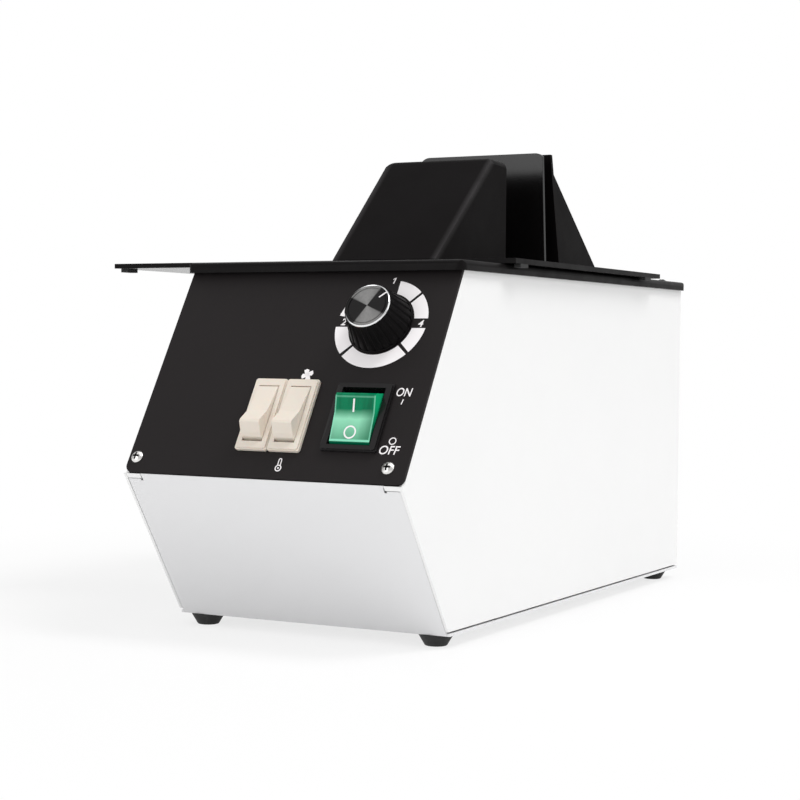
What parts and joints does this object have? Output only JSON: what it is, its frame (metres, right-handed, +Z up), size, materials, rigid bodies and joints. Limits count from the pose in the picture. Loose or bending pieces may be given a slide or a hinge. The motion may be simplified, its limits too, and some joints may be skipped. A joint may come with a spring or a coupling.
{
  "type": "eyeglass frame warmer",
  "caption": "Counter-top hot-air warmer for spectacle frames with a sloped control panel and a hood on a sliding tray.",
  "frame": {"origin": "on the ground plane that the rubber feet stand on, under the middle of the body", "axes": "+X to the object's right as seen by its user (the tray's travel), +Y from the control panel to the rear wall, +Z up"},
  "size_m": [0.208, 0.3181, 0.2159],
  "materials": {
    "white_paint": "satin",
    "grey_paint": "satin",
    "black_panel": "matte",
    "black_metal": "semi-gloss",
    "black_moulding": "satin",
    "black_gloss": "gloss",
    "rubber": "matte",
    "steel": "plain",
    "spun_aluminium": "spun",
    "galvanised": "zinc",
    "beige_plastic": "satin",
    "green_lens": "translucent gloss",
    "ceramic": "matte",
    "resistance_wire": "oxidised"
  },
  "bodies": {
    "housing": {"base_pan": "grey_paint", "body_shell": "white_paint", "control_panel": "black_panel", "panel_screws": "steel", "lid": "black_metal", "lid_screws": "steel", "outlet_grille": "galvanised", "feet": "rubber", "foot_screws": "steel", "thermostat": "galvanised", "heat_switch_body": "beige_plastic", "fan_switch_body": "beige_plastic", "power_switch_body": "black_gloss", "fan_frame": "black_moulding", "fan_hub": "galvanised", "fan_screws": "steel", "air_duct": "galvanised", "duct_screws": "steel", "heater_frame": "ceramic", "heater_coil": "resistance_wire", "thermal_cutout": "black_moulding", "terminal_block": "ceramic", "power_inlet": "black_moulding", "inlet_screws": "steel", "shell_screws": "steel"},
    "tray": {"slide_tray": "black_metal", "tray_pads": "rubber", "guide_pins": "steel", "front_hood": "black_moulding", "rear_hood": "black_moulding", "slot_baffle": "black_gloss", "baffle_spacers": "black_moulding", "hood_screws": "steel"},
    "dial": {"dial_knob": "black_gloss", "knob_cap": "spun_aluminium", "dial_shaft": "steel"},
    "heat_key": {"heat_rocker": "beige_plastic"},
    "fan_key": {"fan_rocker": "beige_plastic"},
    "power_key": {"power_rocker": "green_lens"},
    "wheel": {"fan_rotor": "black_moulding"}
  },
  "joints": [
    {"name": "tray_slide", "type": "slide", "parent": "housing", "child": "tray", "axis": [1, 0, 0], "range_m": [0, 0.065]},
    {"name": "dial_turn", "type": "hinge", "parent": "housing", "child": "dial", "pos_m": [0.03507, -0.12019, 0.13034], "axis": [0, -0.858, 0.5136], "range_deg": [-280, 0]},
    {"name": "heat_rock", "type": "hinge", "parent": "housing", "child": "heat_key", "pos_m": [-0.0069, -0.14072, 0.09175], "axis": [1, 0, 0], "range_deg": [0, 18]},
    {"name": "fan_rock", "type": "hinge", "parent": "housing", "child": "fan_key", "pos_m": [0.0082, -0.14072, 0.09175], "axis": [1, 0, 0], "range_deg": [0, 18]},
    {"name": "power_rock", "type": "hinge", "parent": "housing", "child": "power_key", "pos_m": [0.0374, -0.14072, 0.09175], "axis": [-1, 0, 0], "range_deg": [0, 16]},
    {"name": "fan_spin", "type": "hinge", "parent": "housing", "child": "wheel", "pos_m": [0, 0.03, 0.02], "axis": [0, 0, 1], "continuous": true}
  ]
}
